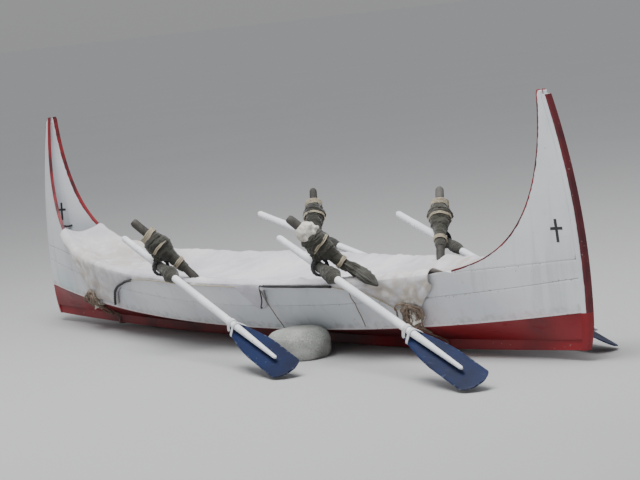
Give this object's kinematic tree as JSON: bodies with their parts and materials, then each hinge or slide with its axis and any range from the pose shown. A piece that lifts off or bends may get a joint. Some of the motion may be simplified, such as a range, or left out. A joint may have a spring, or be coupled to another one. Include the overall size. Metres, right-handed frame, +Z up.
{
  "type": "plank boat",
  "caption": "Small open plank rowing boat with high swept ends, cloth cover, leaning oarlock posts and trailing oars, chocked on the beach with stones.",
  "frame": {"origin": "on the ground under the middle of the keel", "axes": "+X to the stern, +Y to starboard, +Z up"},
  "size_m": [4, 1.3766, 1.105],
  "materials": {
    "bottom_paint": "satin",
    "topside_paint": "satin",
    "edge_paint": "satin",
    "bare_wood": "matte",
    "post_wood": "matte",
    "olive_cloth": "matte",
    "cover_cloth": "matte",
    "tie_rope": "matte",
    "grommet_rope": "matte",
    "oar_white": "satin",
    "oar_blue": "satin",
    "chock_stone": "matte"
  },
  "bodies": {
    "hull": {"garboard_plank_port": "bottom_paint", "bilge_plank_port": "topside_paint", "sheer_plank_port": "topside_paint", "garboard_plank_starboard": "bottom_paint", "bilge_plank_starboard": "topside_paint", "sheer_plank_starboard": "topside_paint", "wing_board_bow_port": "topside_paint", "wing_board_bow_starboard": "topside_paint", "wing_board_stern_port": "topside_paint", "wing_board_stern_starboard": "topside_paint", "keel": "bottom_paint", "bow_stem": "edge_paint", "stern_stem": "edge_paint", "frame_forward": "bare_wood", "frame_bow_thwart": "bare_wood", "frame_stern_thwart": "bare_wood", "frame_aft": "bare_wood", "bow_thwart": "bare_wood", "stern_thwart": "bare_wood", "stern_seat": "bare_wood", "oarlock_post_bow_port": "post_wood", "oarlock_wrap_bow_port": "olive_cloth", "oarlock_post_bow_starboard": "post_wood", "oarlock_wrap_bow_starboard": "olive_cloth", "oarlock_post_stern_port": "post_wood", "oarlock_wrap_stern_port": "olive_cloth", "oarlock_post_stern_starboard": "post_wood", "oarlock_wrap_stern_starboard": "olive_cloth", "cloth_cover": "cover_cloth", "cover_tie_bow": "tie_rope", "cover_tie_stern": "tie_rope", "chock_stone_port": "chock_stone", "chock_stone_starboard": "chock_stone"},
    "grommet_bow_port": {"oar_grommet_bow_port": "grommet_rope"},
    "oar_bow_port": {"oar_shaft_bow_port": "oar_white", "oar_blade_bow_port": "oar_blue"},
    "grommet_bow_starboard": {"oar_grommet_bow_starboard": "grommet_rope"},
    "oar_bow_starboard": {"oar_shaft_bow_starboard": "oar_white", "oar_blade_bow_starboard": "oar_blue"},
    "grommet_stern_port": {"oar_grommet_stern_port": "grommet_rope"},
    "oar_stern_port": {"oar_shaft_stern_port": "oar_white", "oar_blade_stern_port": "oar_blue"},
    "grommet_stern_starboard": {"oar_grommet_stern_starboard": "grommet_rope"},
    "oar_stern_starboard": {"oar_shaft_stern_starboard": "oar_white", "oar_blade_stern_starboard": "oar_blue"}
  },
  "joints": [
    {"name": "sweep_bow_port", "type": "hinge", "parent": "hull", "child": "grommet_bow_port", "pos_m": [-0.294, -0.47519, 0.40509], "axis": [0, 0, -1], "range_deg": [0, 80]},
    {"name": "dip_bow_port", "type": "hinge", "parent": "grommet_bow_port", "child": "oar_bow_port", "pos_m": [-0.294, -0.47519, 0.40509], "axis": [-0.2079, -0.9781, 0], "range_deg": [0, 18]},
    {"name": "sweep_bow_starboard", "type": "hinge", "parent": "hull", "child": "grommet_bow_starboard", "pos_m": [-0.294, 0.47519, 0.40509], "axis": [0, 0, 1], "range_deg": [0, 80]},
    {"name": "dip_bow_starboard", "type": "hinge", "parent": "grommet_bow_starboard", "child": "oar_bow_starboard", "pos_m": [-0.294, 0.47519, 0.40509], "axis": [0.0523, -0.9986, 0], "range_deg": [0, 18]},
    {"name": "sweep_stern_port", "type": "hinge", "parent": "hull", "child": "grommet_stern_port", "pos_m": [0.785, -0.39181, 0.41754], "axis": [0, 0, -1], "range_deg": [0, 80]},
    {"name": "dip_stern_port", "type": "hinge", "parent": "grommet_stern_port", "child": "oar_stern_port", "pos_m": [0.785, -0.39181, 0.41754], "axis": [-0.2079, -0.9781, 0], "range_deg": [0, 18]},
    {"name": "sweep_stern_starboard", "type": "hinge", "parent": "hull", "child": "grommet_stern_starboard", "pos_m": [0.705, 0.40684, 0.41447], "axis": [0, 0, 1], "range_deg": [0, 80]},
    {"name": "dip_stern_starboard", "type": "hinge", "parent": "grommet_stern_starboard", "child": "oar_stern_starboard", "pos_m": [0.705, 0.40684, 0.41447], "axis": [-0.1736, -0.9848, 0], "range_deg": [0, 18]}
  ]
}
